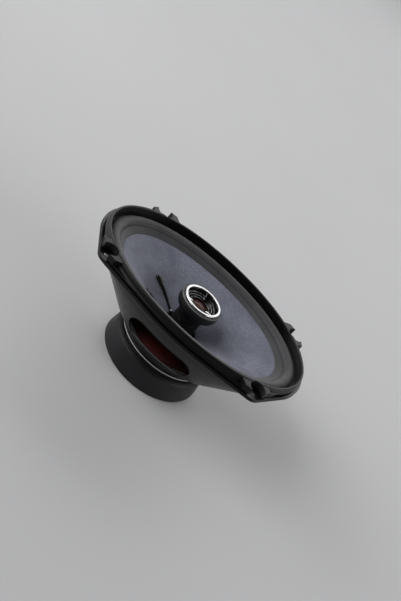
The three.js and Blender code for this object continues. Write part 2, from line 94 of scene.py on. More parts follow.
PLATE_TOP = corner("front_plate", 1).z
BASE_FLOOR = PLATE_TOP + 0.3
BOOT_R, BOOT_TOP = corner("magnet_boot", 1).x, corner("magnet_boot", 1).z
POST_R = 13.2
POST_TOP = corner("tweeter_post", 1).z
TWEETER_TOP = corner("tweeter_chrome_ring", 1).z
WALL_Z = 36.4                           # where the basket's steep wall starts
WINDOW_HALF, WINDOW_Z, WINDOW_H = 35.5, 36.8, 26.5
SCREW_BORE_R = 2.4                      # clearance for the post's screw
CABLE_AT, CABLE_DEGREES, CABLE_BORE_R = 8.5, 110, 1.7
HORN_STEPS, HORN_LOW, HORN_RISE = 3, 78.4, 1.35
DOME_R, DOME_FOOT, DOME_RISE = 9.2, 76.95, 2.5
RIVET_AT, RIVET_HOLE_R, RIVET_ANGLES = 39, 2.3, (45, 135, 225, 315)
CLIP_ANGLES = (28, 148, 268)            # snap clips in the post
STRUT_ANGLES = (97, 217, 337)
BEAD_ANGLES, LEAD_AT = (166, 207), 46   # where the coil leads leave the cone
BEAD_IN, BEAD_OUT, BEAD_WIRE_AT = 19, 50, 18.7  # a bead's ends and its bare wires, from the axis
BOARD_X, BOARD_Y = -23, 51.1            # the terminal board's rivets and its outer face
BOARD_RIVETS = (43, 55.6)
TABS = (("positive", -26.85, 6.3, "tab_brass"), ("negative", -18.4, 4.8, "tab_steel"))
CAPACITOR = (3, 55.4, 49)


# -------- sections and rings
THETA = np.arange(STATIONS) / STATIONS * 2 * math.pi


def oval(a, b, n=OVAL_POWER, theta=THETA):
    """Distance from the axis to an oval, in every direction."""
    return (np.abs(np.cos(theta) / a) ** n + np.abs(np.sin(theta) / b) ** n) ** (-1 / n)


def flange_edge(inset):
    """Distance from the axis to the flange outline, the tight curve round its oval and its ears."""
    fine = np.arange(720) / 720 * 2 * math.pi
    r = oval(FLANGE_A - inset, FLANGE_B - inset, theta=fine)
    points = list(zip(r * np.cos(fine), r * np.sin(fine)))
    slant = math.atan2(EAR_SLANT * EAR_Y, EAR_X)
    x, y = EAR_X - EAR_IN * math.cos(slant), EAR_Y - EAR_IN * math.sin(slant)
    for sx, sy in EARS:
        points += [(sx * x + (EAR_R - inset) * math.cos(u), sy * y + (EAR_R - inset) * math.sin(u))
                   for u in fine[::6]]
    points = sorted(points)

    def half(row):
        """One side of the curve drawn tight round the points."""
        chain = []
        for p in row:
            while len(chain) > 1:
                (ax, ay), (bx, by) = chain[-2:]
                if (bx - ax) * (p[1] - ay) - (by - ay) * (p[0] - ax) > 1e-9:
                    break
                chain.pop()
            chain.append(p)
        return chain[:-1]

    hull = np.array(half(points) + half(points[::-1]))
    edge = np.roll(hull, -1, axis=0) - hull
    normal = np.stack([edge[:, 1], -edge[:, 0]], axis=1)
    reach = (normal * hull).sum(axis=1)
    facing = np.stack([np.cos(THETA), np.sin(THETA)], axis=1) @ normal.T
    return np.where(facing > 1e-6, reach / np.maximum(facing, 1e-6), 1e9).min(axis=1)


def softened(points, radius, steps):
    """A section with its corners rounded. A point is (r, z) or (r, z, its own corner radius)."""
    wide = max(np.size(v) for p in points for v in p[:2])
    path = np.zeros((len(points), wide, 2))
    for i, p in enumerate(points):
        path[i, :, 0], path[i, :, 1] = p[0], p[1]
    rounds = [p[2] if len(p) > 2 else radius for p in points]
    out = []
    for i, here in enumerate(path):
        if not rounds[i]:
            out.append(here)
            continue
        back, ahead = path[i - 1] - here, path[(i + 1) % len(path)] - here
        back_len = np.linalg.norm(back, axis=1, keepdims=True)
        ahead_len = np.linalg.norm(ahead, axis=1, keepdims=True)
        reach = np.minimum(rounds[i], 0.48 * np.minimum(back_len, ahead_len))
        first, last = here + back / back_len * reach, here + ahead / ahead_len * reach
        for s in np.linspace(0, 1, steps + 1):
            out.append((1 - s) ** 2 * first + 2 * s * (1 - s) * here + s * s * last)
    return np.array(out)


def as_bmesh(*meshes):
    """Several meshes in one bmesh."""
    bm = bmesh.new()
    for mesh in meshes:
        bm.from_mesh(mesh)
    return bm


def as_mesh(bm):
    """A new mesh from an edited bmesh."""
    mesh = bpy.data.meshes.new("shape")
    bm.to_mesh(mesh)
    bm.free()
    return mesh


def new_mesh(points, faces):
    """A mesh with doubled points merged and every face turned outwards."""
    mesh = bpy.data.meshes.new("shape")
    mesh.from_pydata([tuple(p) for p in points], [], faces)
    bm = as_bmesh(mesh)
    bmesh.ops.remove_doubles(bm, verts=bm.verts, dist=1e-4)
    bmesh.ops.dissolve_degenerate(bm, edges=bm.edges, dist=1e-5)
    bmesh.ops.recalc_face_normals(bm, faces=bm.faces)
    return as_mesh(bm)


def tube_faces(rows, around, closed):
    """Faces between rows of points round a tube, with its two ends capped unless it is closed."""
    faces = []
    for i in range(rows if closed else rows - 1):
        a, b = i * around, (i + 1) % rows * around
        for k in range(around):
            n = (k + 1) % around
            faces.append((a + k, a + n, b + n, b + k))
    if not closed:
        faces += [tuple(range(around)), tuple((rows - 1) * around + k for k in range(around))]
    return faces


def ring(points, radius=0.3, steps=3, segments=STATIONS):
    """A closed section carried once round the axis."""
    path = softened(points, radius, steps)
    if path.shape[1] == 1:
        path = np.repeat(path, segments, axis=1)
    count, around = path.shape[:2]
    theta = np.arange(around) / around * 2 * math.pi
    xyz = np.stack([path[:, :, 0] * np.cos(theta), path[:, :, 0] * np.sin(theta), path[:, :, 1]],
                   axis=2).reshape(-1, 3)
    return new_mesh(xyz, tube_faces(count, around, True))


def turned(points, radius=0.25, steps=3, segments=128):
    """A solid of revolution, its points on the axis left sharp."""
    return ring([(*p[:2], 0) if p[0] == 0 else p for p in points], radius, steps, segments)


def tube(r0, r1, z0, z1, radius=0.2, segments=128):
    return turned([(r0, z0), (r1, z0), (r1, z1), (r0, z1)], radius, 2, segments)


def rod(r, z0, z1, radius=0.2, segments=64):
    return turned([(0, z0), (r, z0), (r, z1), (0, z1)], radius, 2, segments)


def round_edges(bm, width, sharp, segments):
    """Bevels every edge sharper than an angle in degrees."""
    edges = [e for e in bm.edges if e.is_manifold and e.calc_face_angle(0) > math.radians(sharp)]
    bmesh.ops.bevel(bm, geom=edges, offset=width, segments=segments, profile=0.5, affect="EDGES",
                    clamp_overlap=True)


def prism(outline, z0, z1, bevel=0.0):
    """An outline pushed up from z0 to z1, its edges rounded by bevel."""
    bm = bmesh.new()
    low = [bm.verts.new((x, y, z0)) for x, y in outline]
    face = bm.faces.new(low)
    top = bmesh.ops.extrude_face_region(bm, geom=[face])
    bmesh.ops.translate(bm, verts=[v for v in top["geom"] if isinstance(v, bmesh.types.BMVert)],
                        vec=(0, 0, z1 - z0))
    bmesh.ops.recalc_face_normals(bm, faces=bm.faces)
    if bevel:
        round_edges(bm, bevel, 40, 2)
    return as_mesh(bm)


def block(x0, x1, y0, y1, z0, z1, bevel=0.2):
    return prism([(x0, y0), (x1, y0), (x1, y1), (x0, y1)], z0, z1, bevel)


def smooth_path(points, steps):
    """A centripetal Catmull-Rom curve through the points."""
    p = np.array(points, float)
    p = np.vstack([2 * p[0] - p[1], p, 2 * p[-1] - p[-2]])
    out = []
    for i in range(1, len(p) - 2):
        knots = [0.0]
        for a, b in zip(p[i - 1:i + 2], p[i:i + 3]):
            knots.append(knots[-1] + math.sqrt(np.linalg.norm(b - a)))
        t0, t1, t2, t3 = knots
        for t in np.linspace(t1, t2, steps, endpoint=False):
            a1 = ((t1 - t) * p[i - 1] + (t - t0) * p[i]) / (t1 - t0)
            a2 = ((t2 - t) * p[i] + (t - t1) * p[i + 1]) / (t2 - t1)
            a3 = ((t3 - t) * p[i + 1] + (t - t2) * p[i + 2]) / (t3 - t2)
            b1 = ((t2 - t) * a1 + (t - t0) * a2) / (t2 - t0)
            b2 = ((t3 - t) * a2 + (t - t1) * a3) / (t3 - t1)
            out.append(((t2 - t) * b1 + (t - t1) * b2) / (t2 - t1))
    out.append(p[-2])
    return np.array(out)


def wire(path, radius, sides=12, closed=False):
    """A round wire along a path."""
    path = np.array(path, float)
    n = len(path)
    ahead = np.roll(path, -1, axis=0) - np.roll(path, 1, axis=0)
    if not closed:
        ahead[0], ahead[-1] = path[1] - path[0], path[-1] - path[-2]
    ahead /= np.linalg.norm(ahead, axis=1, keepdims=True)
    side = np.cross(ahead[0], (0.3, 0.2, 1))
    rows = []
    for i in range(n):
        side = side - ahead[i] * (side @ ahead[i])
        side /= np.linalg.norm(side)
        up = np.cross(ahead[i], side)
        for k in range(sides):
            u = k / sides * 2 * math.pi
            rows.append(path[i] + radius * (math.cos(u) * side + math.sin(u) * up))
    return new_mesh(rows, tube_faces(n, sides, closed))


def moved(mesh, *steps):
    for step in steps:
        mesh.transform(step)
    return mesh


def shift(x=0, y=0, z=0):
    return Matrix.Translation((x, y, z))


def turn(degrees, axis="Z"):
    return Matrix.Rotation(math.radians(degrees), 4, axis)


def merged(*meshes):
    """Several separate shapes in one mesh."""
    return as_mesh(as_bmesh(*meshes))


def placed(name, data):
    """A new object in the scene."""
    obj = bpy.data.objects.new(name, data)
    bpy.context.scene.collection.objects.link(obj)
    return obj


def boolean(mesh, tool, operation):
    objects = [placed("base", mesh), placed("tool", tool)]
    change = objects[0].modifiers.new("boolean", "BOOLEAN")
    change.operation, change.object, change.solver = operation, objects[1], "EXACT"
    graph = bpy.context.evaluated_depsgraph_get()
    out = bpy.data.meshes.new_from_object(objects[0].evaluated_get(graph))
    for obj in objects:
        bpy.data.objects.remove(obj)
    return out


def cut(mesh, *tools):
    return boolean(mesh, merged(*tools), "DIFFERENCE")


def join(mesh, *tools):
    for tool in tools:
        mesh = boolean(mesh, tool, "UNION")
    return mesh


def rounded(mesh, width):
    """A cut solid with its flat faces made whole and its edges rounded."""
    bm = as_bmesh(mesh)
    bmesh.ops.remove_doubles(bm, verts=bm.verts, dist=0.02)
    bmesh.ops.dissolve_limit(bm, angle_limit=math.radians(0.5), verts=bm.verts, edges=bm.edges)
    round_edges(bm, width, 35, 3)
    bmesh.ops.recalc_face_normals(bm, faces=bm.faces)
    return as_mesh(bm)


def polar(r, angle, z):
    """A point at height z, r from the axis, in a direction in radians."""
    return np.array([r * math.cos(angle), r * math.sin(angle), z])


def cable_bore():
    """The hole for the tweeter's cable, beside the axis of pole, post and cup."""
    return moved(rod(CABLE_BORE_R, -1, 70, 0, 24), shift(CABLE_AT), turn(CABLE_DEGREES))


def rivet_holes():
    return [moved(rod(RIVET_HOLE_R, 20, 34, 0, 32), shift(RIVET_AT), turn(a)) for a in RIVET_ANGLES]


def board_holes():
    """The rivet holes through the terminal board and the basket's tongue."""
    return [moved(rod(1.5, -10, 10, 0, 32), turn(90, "X"), shift(BOARD_X, 50, height))
            for height in BOARD_RIVETS]


# -------- materials
def grey(value):
    return value, value, value


class Look:
    """A Principled material with helpers for procedural colour, roughness and bump."""

    def __init__(self, name, color, rough, metal=0.0, specular=0.5, coat=0.0, coat_rough=0.1,
                 sheen=0.0):
        self.name = name
        self.material = bpy.data.materials.new(name)
        self.material.use_nodes = True
        self.tree = self.material.node_tree
        self.shader = self.tree.nodes["Principled BSDF"]
        self.color = (*color, 1)
        for key, value in (("Base Color", self.color), ("Roughness", rough), ("Metallic", metal),
                           ("Specular IOR Level", specular), ("Coat Weight", coat),
                           ("Coat Roughness", coat_rough), ("Sheen Weight", sheen)):
            self.shader.inputs[key].default_value = value
        self.place = self.node("ShaderNodeTexCoord").outputs["Object"]
        self.normal = None
        self.mix = None

    def node(self, kind, links=None, **values):
        n = self.tree.nodes.new(kind)
        for key, value in values.items():
            setattr(n, key, value)
        for key, value in (links or {}).items():
            if isinstance(value, bpy.types.NodeSocket):
                self.tree.links.new(value, n.inputs[key])
            else:
                n.inputs[key].default_value = value
        return n

    def noise(self, scale, detail=3, stretch=(1, 1, 1), rough=0.55):
        place = self.node("ShaderNodeMapping", {"Vector": self.place, "Scale": stretch})
        return self.node("ShaderNodeTexNoise", {"Vector": place.outputs[0], "Scale": scale,
                                                "Detail": detail, "Roughness": rough}).outputs[0]

    def cells(self, scale):
        return self.node("ShaderNodeTexVoronoi", {"Vector": self.place, "Scale": scale}).outputs[0]

    def stripes(self, pitch, direction, degrees=0):
        """A wave with one crest every pitch millimetres, turned round the axis by degrees."""
        place = self.node("ShaderNodeMapping", {"Vector": self.place,
                                                "Rotation": (0, 0, math.radians(degrees))})
        scale = 2 * math.pi / 20 / (pitch * MM)
        return self.node("ShaderNodeTexWave", {"Vector": place.outputs[0], "Scale": scale},
                         wave_type="BANDS", bands_direction=direction).outputs[1]

    def band(self, low, high, blur=0.25):
        """1 between two heights in millimetres, 0 outside them."""
        z = self.node("ShaderNodeSeparateXYZ", {"Vector": self.place}).outputs[2]
        up = self.ranged(z, 0, 1, (low - blur) * MM, (low + blur) * MM)
        down = self.ranged(z, 1, 0, (high - blur) * MM, (high + blur) * MM)
        return self.math("MULTIPLY", up, down)

    def within(self, a, b, blur=0.01):
        """1 inside an oval round the axis, 0 outside it. a and b are its half lengths in millimetres."""
        scale = 1 / (a * MM), 1 / (b * MM), 0
        place = self.node("ShaderNodeMapping", {"Vector": self.place, "Scale": scale})
        reach = self.node("ShaderNodeVectorMath", {0: place.outputs[0]}, operation="LENGTH").outputs[1]
        return self.ranged(reach, 1, 0, 1 - blur, 1 + blur)

    def ranged(self, value, low, high, start=0.3, end=0.7):
        return self.node("ShaderNodeMapRange", {"Value": value, "From Min": start, "From Max": end,
                                                "To Min": low, "To Max": high}).outputs[0]

    def math(self, operation, a, b):
        return self.node("ShaderNodeMath", {0: a, 1: b}, operation=operation).outputs[0]

    def shade(self, value, color, start=0.3, end=0.7):
        """Blends the base colour towards another one where value is high."""
        share = self.ranged(value, 0, 1, start, end)
        base = self.mix if self.mix else self.color
        n = self.node("ShaderNodeMix", data_type="RGBA")
        for index, v in ((0, share), (6, base), (7, (*color, 1))):
            if isinstance(v, bpy.types.NodeSocket):
                self.tree.links.new(v, n.inputs[index])
            else:
                n.inputs[index].default_value = v
        self.mix = n.outputs[2]
        self.tree.links.new(self.mix, self.shader.inputs["Base Color"])
        return self

    def vary_rough(self, value, low, high):
        self.tree.links.new(self.ranged(value, low, high), self.shader.inputs["Roughness"])
        return self

    def bump(self, value, depth, strength=1.0):
        """depth is the height of the relief in millimetres."""
        links = {"Height": value, "Strength": strength, "Distance": depth * MM}
        if self.normal:
            links["Normal"] = self.normal
        self.normal = self.node("ShaderNodeBump", links).outputs[0]
        self.tree.links.new(self.normal, self.shader.inputs["Normal"])
        return self


def basket_paint():
    look = Look("basket_paint", (0.0012, 0.0013, 0.0018), 0.28, specular=0.24, coat=0.08,
                coat_rough=0.08)
    # painted shade: the basket stays darker below where its steep wall starts
    look.shade(look.band(WALL_Z, 100), (0.008, 0.0078, 0.008), 0, 1)
    look.shade(look.noise(30), (0.009, 0.009, 0.0095), 0.45, 0.8)
    # painted highlights at the base's rim and at the wall's foot, a painted highlight line low on the
    # flange's edge, and painted shade over the rest of that edge and the flange's top
    for low, high, color in ((27.6, 28.9, (0.32, 0.32, 0.33)), (36.5, 37.4, (0.1, 0.098, 0.1)),
                             (FLANGE_TOP - 3.3, FLANGE_TOP - 2.2, grey(0.03)),
                             (FLANGE_TOP - 2.2, FLANGE_TOP + 1, grey(0.0005))):
        look.shade(look.band(low, high), color, 0.2, 0.8)
    look.vary_rough(look.noise(120, 4), 0.26, 0.38)
    return look.bump(look.noise(1100, 2), 0.01)


def trim_plastic():
    look = Look("trim_plastic", (0.021, 0.0206, 0.0202), 0.4, specular=0.17, sheen=0.03)
    look.shade(look.noise(60), (0.028, 0.0275, 0.027))
    # painted shade: the ring's long sides darker than its lit ends, and the ridge's inner wall near black
    for painted_shade_oval, value in (((LONG_SIDE, 1000, 0.16), 0.0012), ((RIDGE_A - 1.7, RIDGE_B - 1.7), 0.0006)):
        look.shade(look.within(*painted_shade_oval), grey(value), 0, 1)
    # painted shade along the ring's foot, where it meets the flange
    look.shade(look.band(FLANGE_TOP, FLANGE_TOP + 1), grey(0.0006), 0.2, 0.8)
    look.vary_rough(look.noise(200, 4), 0.38, 0.5)
    return look.bump(look.noise(2600, 2), 0.012)


def surround_rubber():
    look = Look("surround_rubber", (0.036, 0.036, 0.038), 0.6, specular=0.3, sheen=0.1)
    look.shade(look.noise(45, 4), (0.05, 0.05, 0.053))
    look.vary_rough(look.noise(300, 3), 0.54, 0.68)
    look.bump(look.noise(1800, 3), 0.02)
    return look.bump(look.cells(900), 0.01)


def cone_fibre():
    look = Look("cone_fibre", (0.105, 0.109, 0.145), 0.66, specular=0.25)
    weave = look.math("MULTIPLY", look.stripes(0.9, "X", 40), look.stripes(0.9, "X", -50))
    look.shade(look.noise(900, 5, rough=0.75), (0.25, 0.26, 0.31), 0.35, 0.7)
    look.shade(look.noise(45, 3), (0.09, 0.093, 0.125), 0.4, 0.85)
    look.vary_rough(look.noise(500, 4), 0.6, 0.74)
    look.bump(weave, 0.03, 0.6)
    return look.bump(look.noise(1500, 4), 0.04)


def cement():
    look = Look("cement", grey(0.004), 0.14, specular=0.4, coat=0.25, coat_rough=0.05)
    look.vary_rough(look.noise(300), 0.08, 0.24)
    return look.bump(look.noise(260, 2), 0.16)


def spider_cloth():
    look = Look("spider_cloth", (0.055, 0.0045, 0.0035), 0.85, specular=0.12, sheen=0.1)
    weave = look.math("MAXIMUM", look.stripes(0.55, "X"), look.stripes(0.55, "Y"))
    look.shade(weave, (0.085, 0.007, 0.005), 0.2, 0.9)
    look.shade(look.noise(60), (0.03, 0.003, 0.003), 0.45, 0.8)
    return look.bump(weave, 0.12)


def boot_rubber():
    look = Look("boot_rubber", (0.005, 0.005, 0.006), 0.5, specular=0.27, sheen=0.04)
    look.shade(look.noise(40, 4), (0.0105, 0.0105, 0.0125))
    # painted shade on the boot's top lip, in the gap under the basket's base
    look.shade(look.band(20.8, 30), (0.0008, 0.0008, 0.001), 0.2, 0.8)
    look.vary_rough(look.noise(250, 4), 0.44, 0.58)
    return look.bump(look.noise(1500, 3), 0.02)


def black_plastic():
    look = Look("housing_plastic", grey(0.004), 0.4, specular=0.15)
    look.shade(look.noise(70), (0.008, 0.008, 0.0085))
    look.vary_rough(look.noise(250, 3), 0.35, 0.46)
    return look.bump(look.noise(2200, 2), 0.008)


def bezel_satin():
    look = Look("bezel_satin", grey(0.006), 0.36, specular=0.25)
    # painted light and shade: dark low down and in the upper groove, a little lighter between the
    # grooves, and a pale painted highlight from the groove up
    for low, high, value in ((80.1, 82.1, 0.014), (82.9, 90, 0.12)):
        look.shade(look.band(low, high, 0.1), grey(value), 0.2, 0.8)
    look.shade(look.noise(250, 4), grey(0.02), 0.6, 0.85)
    look.vary_rough(look.noise(300), 0.3, 0.44)
    return look.bump(look.noise(1500, 2), 0.006)


def gloss_plastic():
    look = Look("horn_gloss", grey(0.003), 0.12, specular=0.12)
    # painted highlights: a pale ring along each step's crest, broken up by noise
    glint_breakup = look.ranged(look.noise(130, 1), 0.1, 1, 0.4, 0.6)
    for step in range(HORN_STEPS):
        z = HORN_LOW + HORN_RISE * step
        crest = look.math("MULTIPLY", look.band(z - 0.1, z + 0.1, 0.05), glint_breakup)
        look.shade(crest, grey(0.3), 0.1, 0.9)
    look.vary_rough(look.noise(200), 0.08, 0.18)
    return look.bump(look.noise(600, 2), 0.006)


def metal(name, color, rough, stretch=(1, 1, 1), depth=0.004, spread=0.08):
    look = Look(name, color, rough, metal=1.0)
    grain = look.noise(500, 4, stretch)
    look.vary_rough(grain, max(0.02, rough - spread), rough + spread)
    look.shade(look.noise(90), tuple(c * 0.86 for c in color), 0.4, 0.8)
    return look.bump(grain, depth)


def film():
    look = Look("dome_film", (0.04, 0.014, 0.011), 0.4, specular=0.15)
    look.shade(look.noise(260), (0.09, 0.042, 0.034), 0.4, 0.7)
    look.shade(look.band(70, 77.6), (0.008, 0.004, 0.004), 0.2, 0.8)
    look.vary_rough(look.noise(350), 0.22, 0.36)
    return look.bump(look.noise(700, 2), 0.01)


def grainy(name, color, other, rough, scale=400, depth=0.02, specular=0.4):
    look = Look(name, color, rough, specular=specular)
    look.shade(look.noise(scale, 5), other)
    look.vary_rough(look.noise(scale * 0.6), rough - 0.07, rough + 0.07)
    return look.bump(look.noise(scale * 2, 3), depth)


LOOKS = {look.name: look for look in (
    basket_paint(), trim_plastic(), surround_rubber(), cone_fibre(), cement(),
    grainy("former", (0.02, 0.012, 0.008), (0.03, 0.016, 0.01), 0.5, 250, 0.01),
    metal("copper", (0.6, 0.22, 0.08), 0.3),
    spider_cloth(),
    metal("plate_steel", (0.09, 0.09, 0.095), 0.34, (1, 1, 4)),
    grainy("ferrite", (0.02, 0.02, 0.022), (0.034, 0.033, 0.034), 0.72, 600, 0.04),
    boot_rubber(), black_plastic(), gloss_plastic(), bezel_satin(),
    metal("chrome", (0.5, 0.5, 0.505), 0.2, depth=0.0001, spread=0.02),
    film(),
    grainy("board", (0.17, 0.09, 0.03), (0.24, 0.14, 0.055), 0.55, 500, 0.015),
    metal("tab_brass", (0.7, 0.46, 0.14), 0.28, (1, 4, 1)),
    metal("tab_steel", grey(0.6), 0.34, (1, 4, 1)),
    grainy("capacitor_sleeve", (0.02, 0.06, 0.2), (0.03, 0.08, 0.25), 0.25, 120, 0.005, 0.6),
    grainy("cable_sleeve", grey(0.012), grey(0.02), 0.5, 300, 0.01),
)}


LEAST_FACES = 8  # a loose part with fewer faces is a scrap


def cleaned(mesh):
    """Drops the slivers and the loose scraps that cutting leaves."""
    bm = as_bmesh(mesh)
    bmesh.ops.remove_doubles(bm, verts=bm.verts, dist=0.001)
    bmesh.ops.triangulate(bm, faces=[f for f in bm.faces if len(f.verts) > 4])
    bmesh.ops.dissolve_degenerate(bm, edges=bm.edges, dist=0.001)
    seen, scraps = set(), []
    for face in bm.faces:
        if face in seen:
            continue
        island, queue = [face], [face]
        seen.add(face)
        while queue:
            for edge in queue.pop().edges:
                near = edge.link_faces
                if len(near) == 2:
                    fresh = [f for f in near if f not in seen]
                    seen.update(fresh)
                    island += fresh
                    queue += fresh
        if len(island) < LEAST_FACES:
            scraps += island
    bmesh.ops.delete(bm, geom=scraps, context="FACES")
    return as_mesh(bm)


def piece(name, mesh, slot, node, body=FIXED, sharp=38, look=None):
    """Makes one visible piece from a mesh in millimetres, in the place of a CAD node.

    It rides on a body, or on no body when body is None. Its material is the slot's own, or another look
    that stands for the same slot."""
    mesh = cleaned(mesh)
    mesh.transform(Matrix.Scale(MM, 4))
    mesh.name = name
    obj = placed(name, mesh)
    mesh.materials.clear()
    mesh.materials.append(LOOKS[look or slot].material)
    mesh.shade_smooth()
    mesh.set_sharp_from_angle(angle=math.radians(sharp))
    even = obj.modifiers.new("even_normals", "WEIGHTED_NORMAL")
    even.keep_sharp = True
    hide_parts(node)
    if body:
        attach(obj, body)
    return obj


def eased(share):
    """Shares from 0 to 1 with a soft start and end."""
    w = np.clip(share, 0, 1)
    return w * w * (3 - 2 * w)


def flex(obj):
    """Bakes a piece's placement into its points."""
    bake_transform(obj)


def points_of(obj):
    """The points of a piece in millimetres."""
    xyz = np.zeros(len(obj.data.vertices) * 3)
    obj.data.vertices.foreach_get("co", xyz)
    return xyz.reshape(-1, 3) * 1000


# -------- basket
def stadium(half, low, height):
    """Outline of a window: a slot with round ends, as (x, z) points."""
    r = height / 2
    return [(side * (half - r) + r * math.cos(u), low + r + r * math.sin(u))
            for side, start in ((1, -90), (-1, 90))
            for u in np.radians(np.linspace(start, start + 180, 24))]


def wall_y(x, z):
    """Distance out to the basket wall on a long side, just inside its outer face."""
    heights = [34.8, WALL_Z, 55, 70]
    a, b, n = (np.interp(z, heights, sizes) for sizes in
               ([62, 64.4, 86.4, 104], [46.9, 48.2, 58.9, 66.4], [2, 2, 2, OVAL_POWER]))
    return b * (1 - np.abs(x / a) ** n) ** (1 / n)


def window_lip(side):
    """The rolled edge pressed round the window on one side, 1 or -1."""
    outline = np.array(stadium(WINDOW_HALF + 0.5, WINDOW_Z - 0.5, WINDOW_H + 1))
    dense = []
    for p, q in zip(outline, np.roll(outline, -1, axis=0)):
        count = max(1, int(np.linalg.norm(q - p) / 1.4))
        dense += [p + (q - p) * i / count for i in range(count)]
    x, z = np.array(dense).T
    return wire(np.stack([x, side * wall_y(x, z), z], axis=1), 0.85, 12, closed=True)


def basket_shape():
    z, t = FLANGE_TOP, FLANGE_THICK
    edge, inner_edge, groove = flange_edge(0), flange_edge(1.5), flange_edge(0.35)
    lip, inside, mouth = z - FLANGE_LIP, BASE_R - 3.2, oval(RIDGE_A - 0.8, RIDGE_B - 0.8)
    grooves = []
    for down in (1.2, 2.2):
        grooves += [(edge, z - down, 0.1), (groove, z - down - 0.15, 0.1),
                    (groove, z - down - 0.4, 0.1), (edge, z - down - 0.55, 0.1)]
    points = [
        (oval(LEDGE_A, LEDGE_B), LEDGE_Z), (mouth, LEDGE_Z, 0.8), (mouth, z), (edge, z, 0.7), *grooves,
        (edge, lip, 0.2), (inner_edge, lip, 0.3), (inner_edge, z - t, 0.5),
        (oval(RIDGE_A + 0.8, RIDGE_B + 0.8), z - t, 0.6),
        (oval(RIDGE_A + 1, RIDGE_B + 0.4), LEDGE_Z - 1.2, 1.5),
        (oval(LEDGE_A + 5.2, LEDGE_B + 0.6), z - 9, 3), (oval(104.5, 67), 70, 6),
        (oval(87, 59.5, 2), 55, 8), (oval(65, BASE_R, 2), WALL_Z, 1.2),
        (oval(62.5, BASE_R - 1.6, 2), 34.8, 1.6), (oval(53, BASE_R - 2.2, 2), BASE_Z + 2.8, 1.2),
        (BASE_R - 1.6, BASE_Z + 1.9, 0.6), (BASE_R, BASE_Z + 1.3, 1), (BASE_R, BASE_Z, 0.5),
        (inside, BASE_Z, 0.3), (inside, BASE_FLOOR, 0.3), (33, BASE_FLOOR, 0.3),
        (33, BASE_FLOOR + 1.6, 0.5), (inside, BASE_FLOOR + 1.6, 1.2), (inside, 34.2, 0.8),
        (BASE_R - 7.4, 34.8, 0.3),
        (BASE_R - 7.4, 36, 0.3), (oval(60.6, BASE_R - 2.2, 2), 36, 1),
        (oval(62.2, BASE_R - 1.9, 2), 37.6, 1), (oval(85, 57.7, 2), 55.8, 8),
        (oval(102.4, 65.2), 70.6, 6), (oval(LEDGE_A + 1.4, LEDGE_B - 1.6), z - 7.6, 3),
        (oval(LEDGE_A, LEDGE_B), LEDGE_Z - 1.4, 0.4),
    ]
    mesh = ring(points, 0.3, 4)
    windows = [moved(prism(stadium(WINDOW_HALF, WINDOW_Z, WINDOW_H), 0, 50),
                     shift(z=25), turn(90, "X"), shift(y=y)) for y in (110, -20)]
    screws = [moved(rod(SCREW_HOLE_R, z - 4, z + 2, 0), shift(sx * EAR_X, sy * EAR_Y))
              for sx, sy in EARS]
    mesh = cut(mesh, *windows, *screws, *rivet_holes())
    tongue = cut(block(-36, -10, 47.2, 48.8, WALL_Z, 59.4, 0.4), block(-32, -14, 46, 50, 45, 53, 1.2),
                 *board_holes())
    return join(mesh, window_lip(1), window_lip(-1), tongue)


piece("pressed_basket", basket_shape(), "basket_paint", "basket_frame", sharp=32)


# -------- trim ring
def trim_shape():
    z, h, top = FLANGE_TOP + 0.3, RIDGE_HALF, RING_TOP
    low = LEDGE_Z + 1.4
    end = eased((np.abs(np.cos(THETA)) - 0.9) / 0.09)
    foot = flange_edge(2.2) - 2.4 * end

    def ridge(d, drawn_in=0.0):
        """The ridge's centre line moved out by d, and drawn in at the two ends of the oval."""
        return oval(RIDGE_A + d, RIDGE_B + d) - drawn_in * end

    mesh = ring([
        (ridge(-h), low, 0.2), (ridge(0.8 - h), low, 0.2), (ridge(0.8 - h), z, 0.2),
        (foot, z, 0.25), (foot, z + 1.1, 0.5),
        (ridge(h + 1.2, 1.4), z + 1.9, 0.8), (ridge(h, 0.5), z + 3.2, 1.6),
        (ridge(h, 1), top - 2, 3), (ridge(h - 1, 0.9), top, 1.5),
        (ridge(0.5 - h), top - 0.1 * end, 0.7), (ridge(-h), top - 1, 0.7),
    ], 0.4, 5)
    fine = np.arange(240) / 240 * 2 * math.pi
    outer = np.interp(fine, THETA, flange_edge(1.8), period=2 * math.pi)
    inner = oval(RIDGE_A, RIDGE_B, theta=fine)
    prongs = []
    for sx, sy in EARS:
        at = math.degrees(math.atan2(sy * EAR_Y * EAR_SLANT, sx * EAR_X))
        off = (fine - math.atan2(sy * EAR_Y, sx * EAR_X) + math.pi) % (2 * math.pi) - math.pi
        keep = [i for i in np.argsort(off) if abs(off[i]) < 0.42]
        outline = [(reach[i] * math.cos(fine[i]), reach[i] * math.sin(fine[i]))
                   for reach, order in ((outer, keep), (inner, keep[::-1])) for i in order]
        region = prism(outline, z + 0.13, top - 0.37)
        limit = moved(block(-16, 16, -13.5, 13.5, z, top + 1, 0), turn(at),
                      shift(sx * (EAR_X - 1), sy * (EAR_Y - 1)))
        # prongs stand off the ring's foot and top and are cut wider, so that no two faces coincide
        scoop, wider = [[moved(m, turn(at), shift(sx * EAR_X, sy * EAR_Y)) for m in
                         (rod(SCOOP_R + gap, z - 1, top + 2, 0),
                          block(0, 20, -SCOOP_MOUTH - gap, SCOOP_MOUTH + gap, z - 1, top + 2, 0))]
                        for gap in (0, 0.06)]
        solid = boolean(region, limit, "INTERSECT")
        prongs.append(rounded(cut(cut(solid, wider[0]), wider[1]), 0.9))
        mesh = cut(cut(mesh, scoop[0]), scoop[1])
    return join(mesh, *prongs)


piece("trim_ring", trim_shape(), "trim_plastic", "gasket_ring", sharp=35)


# -------- cone, surround and beads
def cone_at(s):
    """Front face of the cone from its edge (s = 0) to its neck (s = 1)."""
    a, b = CONE_A + (NECK_R - CONE_A) * s, CONE_B + (NECK_R - CONE_B) * s
    return a, b, CONE_Z + (NECK_Z - CONE_Z) * s ** CONE_CURVE, OVAL_POWER + (2 - OVAL_POWER) * s


